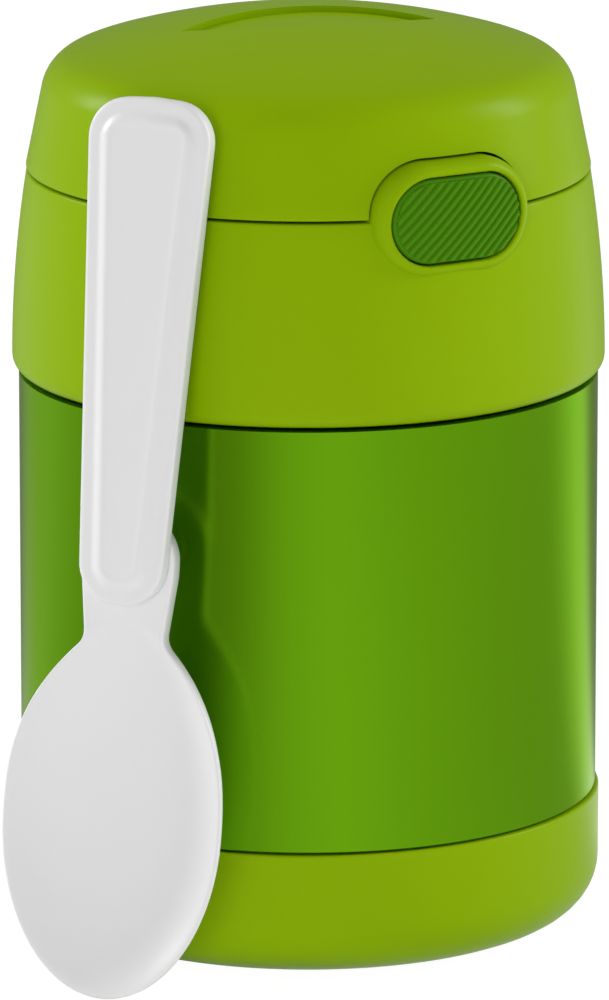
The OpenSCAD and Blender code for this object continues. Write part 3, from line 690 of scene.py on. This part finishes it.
def springPiece():  # a coil of wire that rides with the button, on a mesh of its own
    s = spring
    steps = s["turns"] * s["turnSteps"]
    length = s["back"] - s["front"]
    bm = bmesh.new()
    bmesh.ops.create_circle(bm, radius=s["wire"] * mm, segments=10,
                            matrix=Matrix.Translation(Vector((s["radius"], s["front"], 0)) * mm))
    bmesh.ops.spin(bm, geom=bm.verts[:] + bm.edges[:], cent=(0, 0, 0), axis=(0, 1, 0),
                   dvec=(0, length / steps * mm, 0), angle=2 * math.pi * s["turns"], steps=steps)
    bmesh.ops.holes_fill(bm, edges=[e for e in bm.edges if e.is_boundary])
    bmesh.ops.translate(bm, vec=(0, 0, s["height"] * mm), verts=bm.verts)
    tidy(bm)
    coil = place(bm, "buttonSpring", "push_button", bareSteel, ["button_spring"], 60)
    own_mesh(coil)


buttonPiece()
springPiece()
print("push button made")


dome = {
    "edge": 114.6, "radius": 42.3, "draft": 11.6, "sideHeight": 10.7, "lowArc": 7.1, "highArc": 28.0,
    "blend": 66.8, "crown": 113.0, "wall": 2.0, "linerGap": 0.15, "lining": 1.4, "linerRise": 3.2,
    "notchRoom": 0.4, "recessLength": 39, "recessWidth": 14, "recessDepth": 0.9, "recessTurn": -17,
    "recessShift": (-0.9, -1.5), "discDepth": 14, "coreAngle": 14, "coreRadius": 25, "coreDrop": 20,
}
lidCatch = {
    "half": 4.5, "front": -34.7, "back": -33.3, "ledgeBack": -31.9, "bottom": 112.0, "ledgeTop": 113.5,
    "top": 126, "edge": 0.25,
}


def domeCurve(inset, steps=14):  # points from the edge to the crown
    d = dome
    draft, blend = math.radians(d["draft"]), math.radians(d["blend"])
    low = Vector((d["radius"] - d["sideHeight"] * math.tan(draft) - d["lowArc"] / math.cos(draft),
                  d["edge"] + d["sideHeight"]))
    high = low - (d["highArc"] - d["lowArc"]) * Vector((math.cos(blend), math.sin(blend)))
    last = math.acos(high.x / (d["crown"] - d["highArc"]))
    centre = Vector((0, high.y - (d["crown"] - d["highArc"]) * math.sin(last)))
    points = [Vector((d["radius"] - inset / math.cos(draft), d["edge"]))]
    for k in range(1, 5):  # the straight side
        end = low + (d["lowArc"] - inset) * Vector((math.cos(draft), math.sin(draft)))
        points.append(points[0].lerp(end, k / 5))
    for c, radius, start, stop in ((low, d["lowArc"], draft, blend), (high, d["highArc"], blend, last),
                                   (centre, d["crown"], last, math.pi / 2)):
        for k in range(0 if c is low else 1, steps + 1):
            a = start + (stop - start) * k / steps
            points.append(c + (radius - inset) * Vector((math.cos(a), math.sin(a))))
    points[-1].x = 0
    return points, centre


def towerNotch():  # the room that the dome and its liner leave for the bezel
    b = lidBase
    border = b["gap"] + b["rim"] + dome["notchRoom"]
    width, height = b["buttonWidth"] + 2 * border, b["buttonHeight"] + 2 * border
    front, back = b["towerFront"], b["towerBack"] + 0.3
    bm = obround(width, height, front, back, b["buttonZ"])
    return combine(bm, block((-width / 2, front, 100), (width / 2, back, b["buttonZ"])), "UNION")


def crownRecess(centre):  # where two discs overlap, down to a dome of its own
    d = dome
    eye = ((d["recessLength"] / 2) ** 2 + (d["recessWidth"] / 2) ** 2) / d["recessWidth"]
    discs = []
    for side in (1, -1):
        bm = bmesh.new()
        shift = Matrix.Translation((0, side * (eye - d["recessWidth"] / 2) * mm, 0))
        bmesh.ops.create_cone(bm, cap_ends=True, segments=360, radius1=eye * mm, radius2=eye * mm,
                              depth=d["discDepth"] * mm, matrix=shift)
        discs.append(bm)
    bm = combine(*discs, "INTERSECT")
    turn = Matrix.Rotation(math.radians(d["recessTurn"]), 3, "Z")
    bmesh.ops.rotate(bm, cent=(0, 0, 0), matrix=turn, verts=bm.verts)
    top = centre.y + d["crown"]
    bmesh.ops.translate(bm, vec=Vector((*d["recessShift"], top)) * mm, verts=bm.verts)
    radius = d["crown"] - d["recessDepth"]
    angles = [math.radians(a) for a in range(d["coreAngle"], -1, -1)]
    floor = [(radius * math.sin(a), centre.y + radius * math.cos(a)) for a in angles]
    low = top - d["coreDrop"]
    return combine(bm, lathe([*floor, (0, low), (d["coreRadius"], low)]))


def domePiece():
    outer, centre = domeCurve(0)
    inner, _ = domeCurve(dome["wall"])
    foot = roundedPath([(*inner[1], 0), (*inner[0], 0.3), (*outer[0], 0.35), (*outer[1], 0)], 4)
    bm = lathe(foot + outer[2:] + inner[:1:-1], lidBase["turnSteps"])
    h = hinge
    bm = combine(bm, knuckle(-h["half"], h["half"]), "UNION")
    bm = combine(bm, towerNotch())
    bm = combine(bm, crownRecess(centre))
    for side in (-1, 1):
        ends = sorted((side * (h["earStart"] - h["sideRoom"]), side * (h["earEnd"] + h["sideRoom"])))
        bm = combine(bm, knuckle(*ends, h["knuckle"] + h["room"]))
    bm = combine(bm, knuckle(-h["pinHalf"], h["pinHalf"], h["pin"] + h["pinRoom"], h["pinSteps"]))
    return place(bm, "dome", "lid", lime, ["lid_dome"])


def domeLinerPiece():
    outer, _ = domeCurve(dome["wall"] + dome["linerGap"])
    inner, _ = domeCurve(dome["wall"] + dome["linerGap"] + dome["lining"])
    bm = lathe([*outer, *inner[::-1]])
    bm = combine(bm, block((-50, -50, 100), (50, 50, dome["edge"] + dome["linerRise"])))
    bm = combine(bm, towerNotch())
    c = lidCatch
    corner = (-c["half"], c["front"], c["bottom"])
    tongue = block(corner, (c["half"], c["back"], c["top"]))
    ledge = block(corner, (c["half"], c["ledgeBack"], c["ledgeTop"]))
    join(bm, soften(tongue, c["edge"]), soften(ledge, c["edge"]))
    return place(bm, "domeLiner", "lid", greyPlastic, ["lid_liner"])


domePiece()
domeLinerPiece()
print("dome lid made")


spoon = {
    "azimuth": -50.5, "shift": -10.9, "foot": 60.3, "rise": 0.3, "lean": 7.8, "tilt": 1.35,
    "pivot": 64.9, "handleLength": 68.2, "handleWidth": 19.4, "pivotWidth": 12.5, "handleThickness": 3.0,
    "handleCorner": 6, "crownRise": 0.6, "crownRadius": 12, "gap": 0.15, "studRadius": 2.4, "studHead": 0.8,
    "studEdge": 0.35, "studRoom": 0.05, "tab": 3.0, "tabRadius": 7.2, "tabDrop": 2, "tabCorner": 6,
    "tabFlat": 0.2, "neckWidth": 12.2, "neckCorner": 3, "bowlWidth": 34.2, "bowlLow": 26, "bowlHigh": 27,
    "bowlFullness": 2.6, "bowlDepth": 7.5, "bowlWall": 1.5, "rimThickness": 1.3, "rimGrowsFrom": 10,
    "rimGrowsTo": 29, "hollowTop": 30.0, "hollowFullness": 2.6, "hollowDrop": 0.1, "hollowBlend": 0.3,
    "rimInset": 0.4, "rounding": 0.45, "outlinePoints": 240,
}


def spoonPlace():
    s = spoon
    turn = Matrix.Rotation
    return (turn(math.radians(s["azimuth"]), 4, "Z")
            @ Matrix.Translation(Vector((s["shift"], -s["foot"], s["rise"])) * mm)
            @ turn(math.radians(-s["lean"]), 4, "X") @ turn(math.radians(s["tilt"]), 4, "Y"))


def plate(points, front, back):  # points are (x, z); the plate runs from y = front to y = back
    bm = bmesh.new()
    face = bm.faces.new([bm.verts.new((x * mm, front * mm, z * mm)) for x, z in points])
    made = bmesh.ops.extrude_face_region(bm, geom=[face])
    bmesh.ops.translate(bm, vec=(0, (back - front) * mm, 0), verts=vertsOf(made))
    bmesh.ops.recalc_face_normals(bm, faces=bm.faces)
    return bm


def handleOutline(inset):
    s = spoon
    end, half, top = s["pivotWidth"] / 2, s["handleWidth"] / 2, s["pivot"] + s["handleLength"]
    corner = max(1.2, s["handleCorner"] - inset / 2 - max(0, inset - 1.3))
    foot, shoulder = s["pivot"] - end + inset, top - s["crownRise"] - inset
    corners = [
        (0, foot, 0), (end - inset, foot, end - inset - 0.1), (half - inset, shoulder, corner),
        (0, top - inset, s["crownRadius"]), (-half + inset, shoulder, corner),
        (-end + inset, foot, end - inset - 0.1), (0, foot, 0)]
    return roundedPath(corners, 12)[:-1]


def handlePiece():
    s = spoon
    back, front = -s["gap"], -s["handleThickness"] - s["gap"]
    # distance in from the outline and y: the back, the edge, the border and the raised panel
    section = [
        (0.9, back), (0.6, back), (0.33, back - 0.05), (0.12, back - 0.18), (0.02, back - 0.38),
        (0, back - 0.6), (0, front + 0.62), (0.03, front + 0.4), (0.13, front + 0.22), (0.3, front + 0.09),
        (0.52, front + 0.02), (0.75, front), (1.3, front), (1.7, front), (1.95, front - 0.02),
        (2.2, front - 0.1), (2.45, front - 0.25), (2.7, front - 0.43), (2.95, front - 0.6),
        (3.2, front - 0.72), (3.45, front - 0.79), (3.7, front - 0.8), (3.95, front - 0.76),
        (4.2, front - 0.73), (4.45, front - 0.72), (4.7, front - 0.72)]
    rings = [[(x, y, z) for x, z in handleOutline(inset)] for inset, y in section]
    pivot, low = (0, 0, s["pivot"]), s["tab"] + s["gap"]
    stud = barrel(s["studRadius"], -0.5, low + s["gap"], pivot, "Y")
    head = barrel(s["studRadius"] + s["studHead"], low, low + s["studHead"], pivot, "Y")
    bm = join(loft(rings), stud, soften(head, s["studEdge"]))
    bmesh.ops.transform(bm, matrix=spoonPlace(), verts=bm.verts)
    return place(bm, "spoonHandle", "spoon_grip", spoonWhite, ["spoon_handle"], 50)


def bowlSide(rise):  # half width of the bowl at a height above its widest place
    s = spoon
    if rise < 0:
        return s["bowlWidth"] / 2 * math.sqrt(max(0, 1 - (rise / s["bowlLow"]) ** 2))
    narrowing = min(1, rise / s["bowlHigh"]) ** s["bowlFullness"]
    return s["neckWidth"] / 2 + (s["bowlWidth"] - s["neckWidth"]) / 2 * (1 - narrowing)


def evenly(points, count):  # the same closed line in steps of one length
    lengths = [0]
    for one, two in zip(points, points[1:] + points[:1]):
        lengths.append(lengths[-1] + (two - one).length)
    found, k = [], 0
    for i in range(count):
        want = lengths[-1] * i / count
        while lengths[k + 1] < want:
            k += 1
        share = (want - lengths[k]) / (lengths[k + 1] - lengths[k])
        found.append(points[k].lerp(points[(k + 1) % len(points)], share))
    return found


def spoonOutline(inset=0.0):  # bowl, neck and tab in one closed line, about the bowl's widest place
    s = spoon
    neck, pivot, tab = s["neckWidth"] / 2, s["pivot"] - s["bowlLow"], s["tabRadius"]
    count, corner = s["outlinePoints"], s["neckCorner"]
    side = []
    for k in range(1, 55):  # from the tip up to the neck
        a = math.radians(-90 + 180 * k / 60)
        rise = (s["bowlLow"] if a < 0 else s["bowlHigh"]) * math.sin(a)
        side.append((bowlSide(rise), rise, 0))
    low, top, rounded = pivot - s["tabDrop"], pivot + tab, tab - s["tabFlat"]
    upper = roundedPath([
        side[-2], (neck, s["bowlHigh"], corner), (tab, low, s["tabCorner"]), (tab, top, rounded),
        (-tab, top, rounded), (-tab, low, s["tabCorner"]), (-neck, s["bowlHigh"], corner),
        (-side[-2][0], side[-2][1], 0)], 12)
    line = [Vector((0, -s["bowlLow"]))] + [Vector(p[:2]) for p in side[:-2]] + upper
    line += [Vector((-p[0], p[1])) for p in side[-3::-1]]
    line = evenly(line, count)
    if inset:
        ahead = [(line[(i + 1) % count] - line[i - 1]).normalized() for i in range(count)]
        line = [p + inset * Vector((-d.y, d.x)) for p, d in zip(line, ahead)]
    return line


def bowlPiece():
    s = spoon
    hollowDepth = s["bowlDepth"] - s["bowlWall"]

    def share(p, inset):  # 0 in the middle, 1 at the edge of an egg-shaped line
        reach = s["hollowTop"] if p.y > 0 else s["bowlLow"]
        return math.hypot(p.x / (s["bowlWidth"] / 2 - inset), p.y / (reach - inset))

    def front(p):
        hollow = hollowDepth * (1 - share(p, s["rimInset"]) ** s["hollowFullness"]) - s["hollowDrop"]
        return 0.5 * (hollow + math.hypot(hollow, s["hollowBlend"]))  # runs softly into the flat rim

    def back(p):
        edge = min(1, share(p, 0))
        rise = (p.y - s["rimGrowsFrom"]) / (s["rimGrowsTo"] - s["rimGrowsFrom"])
        rise = max(0, min(1, rise))
        rim = s["rimThickness"] + (s["tab"] - s["rimThickness"]) * rise ** 2 * (3 - 2 * rise)
        return s["bowlDepth"] * (1 - edge ** 2) + rim * edge ** 2

    def ring(points, height):
        return [(p.x, height(p), s["bowlLow"] + p.y) for p in points]

    rounding = s["rounding"]
    insets = [rounding * k for k in (0.71, 0.4, 0.16, 0)]
    shares = [0, 0.04, 0.1, 0.18, 0.26, 0.34, 0.42, 0.5, 0.57, 0.63, 0.69, 0.74, 0.78, 0.82, 0.86, 0.89,
              0.92, 0.95, 0.975, 1]
    inner = spoonOutline(rounding)
    pivot = s["pivot"] - s["bowlLow"]

    def drawnIn(p, part):  # towards the spoon's middle line
        middle = Vector((0, max(0, min(pivot, p.y))))
        return middle.lerp(p, part)

    def fall(inset):  # how far the rounded edge lies behind the face
        return rounding - math.sqrt(rounding ** 2 - (rounding - inset) ** 2)

    rings = [ring([drawnIn(p, k) for p in inner], back) for k in shares]
    rings += [ring(spoonOutline(i), lambda p, i=i: back(p) - fall(i)) for i in insets]
    rings += [ring(spoonOutline(i), lambda p, i=i: front(p) + fall(i)) for i in insets[::-1]]
    rings += [ring([drawnIn(p, k) for p in inner], front) for k in shares[::-1]]
    bm = loft(rings, False)  # the first and last ring lie on the middle line and close there
    tidy(bm, 0.005)
    bm = combine(bm, barrel(s["studRadius"] + s["studRoom"], -2, 6, (0, 0, s["pivot"]), "Y"))
    bmesh.ops.transform(bm, matrix=spoonPlace(), verts=bm.verts)
    return place(bm, "spoonBowl", "spoon", spoonWhite, ["spoon_bowl"], 50)


handlePiece()
bowlPiece()
print("spoon made")


studio = {
    "cameraDistance": 1.385, "cameraHeight": 0.3978, "cameraTurn": -30.5, "cameraPitch": 13.593,
    "lens": 340.25, "shift": -0.00396, "floorColour": (0.94, 0.94, 0.94, 1), "world": 0.45,
    # painted reflection bands, bright and dark, that the lacquer mirrors; the floor glows with them for
    # mirror rays only: degrees to the right of the camera, brightness
    "paintedReflections": [
        (-180, 0.16), (-156, 0.12), (-140, 0.4), (-120, 0.5), (-62, 0.24), (-40, 0.2), (-27, 0.26),
        (-9, 0.52), (9, 0.62), (36, 0.52), (60, 0.46), (85, 0.4), (106, 0.37), (115, 0.54), (126, 0.8),
        (135, 0.76), (144, 0.18), (152, 0.12)],
    "paintedReflectionGlow": 1.6, "worldMirrored": 0.2, "paper": 1.08, "paperShare": 0.9, "floorSize": 6,
    "floorDrop": 0.0002, "aimHeight": 0.08,
}
# degrees to the right of the camera, height, distance, size, power, seen in mirrors; in metres and watts
lamps = {
    "rightPanel": (100, 0.55, 1.1, (0.3, 0.6), 6.8, True),
    "leftPanel": (-108, 0.6, 1.2, (0.24, 0.45), 7.6, True),
    "frontPanel": (-12, 0.25, 1.5, (0.6, 0.5), 5.4, False),
}


def makeCamera():
    s = studio
    data = bpy.data.cameras.new("camera")
    data.sensor_width, data.lens, data.shift_x = 36, s["lens"], s["shift"]
    data.clip_end = 20
    camera = bpy.data.objects.new("camera", data)
    bpy.context.scene.collection.objects.link(camera)
    turn = math.radians(s["cameraTurn"])
    away = s["cameraDistance"]
    camera.location = (away * math.sin(turn), -away * math.cos(turn), s["cameraHeight"])
    camera.rotation_euler = (math.radians(90 - s["cameraPitch"]), 0, turn)
    bpy.context.scene.camera = camera


def makeFloor():  # white to the camera, glowing painted reflection bands to what mirrors it, pale paper to all other light
    s = studio
    bm = bmesh.new()
    bmesh.ops.create_grid(bm, x_segments=1, y_segments=1, size=s["floorSize"])
    bmesh.ops.translate(bm, vec=(0, 0, -s["floorDrop"]), verts=bm.verts)
    mesh = toMesh(bm, "floor")
    floor = bpy.data.objects.new("floor", mesh)
    bpy.context.scene.collection.objects.link(floor)
    finish = Finish("floorPaper", Roughness=0.9)
    finish.set("Base Color", s["floorColour"])
    rays = finish.tree.nodes.new("ShaderNodeLightPath")
    camera = Wire(finish, rays.outputs["Is Camera Ray"])
    glossy = Wire(finish, rays.outputs["Is Glossy Ray"])
    where = finish.add("ShaderNodeTexCoord", {}, {}, "Object")
    turn = (0, 0, math.radians(90 - s["cameraTurn"]))
    turned = finish.add("ShaderNodeMapping", {}, {"Vector": where, "Rotation": turn})
    bearing = finish.add("ShaderNodeTexGradient", {"gradient_type": "RADIAL"}, {"Vector": turned}, 1)
    # painted reflection: the floor glows in bright and dark bands by bearing around the jar, seen only by
    # the lacquer's mirror rays
    paintedReflections = finish.add("ShaderNodeValToRGB", {}, {0: bearing})
    ramp = paintedReflections.socket.node.color_ramp.elements
    for i, (degrees, level) in enumerate(s["paintedReflections"]):
        element = ramp[i] if i < 2 else ramp.new(1)
        element.position = 0.5 + degrees / 360
        element.color = (level, level, level, 1)
    paper = (*[s["paper"] / s["paintedReflectionGlow"]] * 3, 1)
    colour = finish.blend(camera, paintedReflections, paper)
    # the glow that carries the painted reflection bands
    glow = finish.add("ShaderNodeEmission", {}, {"Color": colour, "Strength": s["paintedReflectionGlow"]})
    seen = camera.maths("MAXIMUM", camera, glossy)
    plain = Wire(finish, finish.shader.outputs[0])
    mixed = finish.add("ShaderNodeMixShader", {}, {0: seen * s["paperShare"], 1: plain, 2: glow})
    finish.tree.links.new(mixed.socket, finish.output.inputs[0])
    mesh.materials.append(finish.material)


def makeLamp(name, turn, height, distance, size, power, mirrored):
    data = bpy.data.lights.new(name, "AREA")
    data.shape, data.size, data.size_y, data.energy = "RECTANGLE", size[0], size[1], power
    lamp = bpy.data.objects.new(name, data)
    bpy.context.scene.collection.objects.link(lamp)
    a = math.radians(studio["cameraTurn"] + turn)
    lamp.location = (distance * math.sin(a), -distance * math.cos(a), height)
    aim = Vector((0, 0, studio["aimHeight"])) - lamp.location
    lamp.rotation_euler = aim.to_track_quat("-Z", "Y").to_euler()
    lamp.visible_glossy = mirrored


def makeWorld():
    world = bpy.data.worlds.new("studio")
    bpy.context.scene.world = world
    world.use_nodes = True
    tree = world.node_tree
    mixed = tree.nodes.new("ShaderNodeMixShader")
    tree.links.new(tree.nodes.new("ShaderNodeLightPath").outputs["Is Glossy Ray"], mixed.inputs[0])
    for i, strength in enumerate((studio["world"], studio["worldMirrored"])):
        back = tree.nodes.new("ShaderNodeBackground")
        back.inputs["Color"].default_value = (1, 1, 1, 1)
        back.inputs["Strength"].default_value = strength
        tree.links.new(back.outputs[0], mixed.inputs[1 + i])
    tree.links.new(mixed.outputs[0], tree.nodes["World Output"].inputs[0])


makeCamera()
makeFloor()
for name, values in lamps.items():
    makeLamp(name, *values)
makeWorld()
bpy.context.scene.view_settings.view_transform = "Standard"
print("studio made")
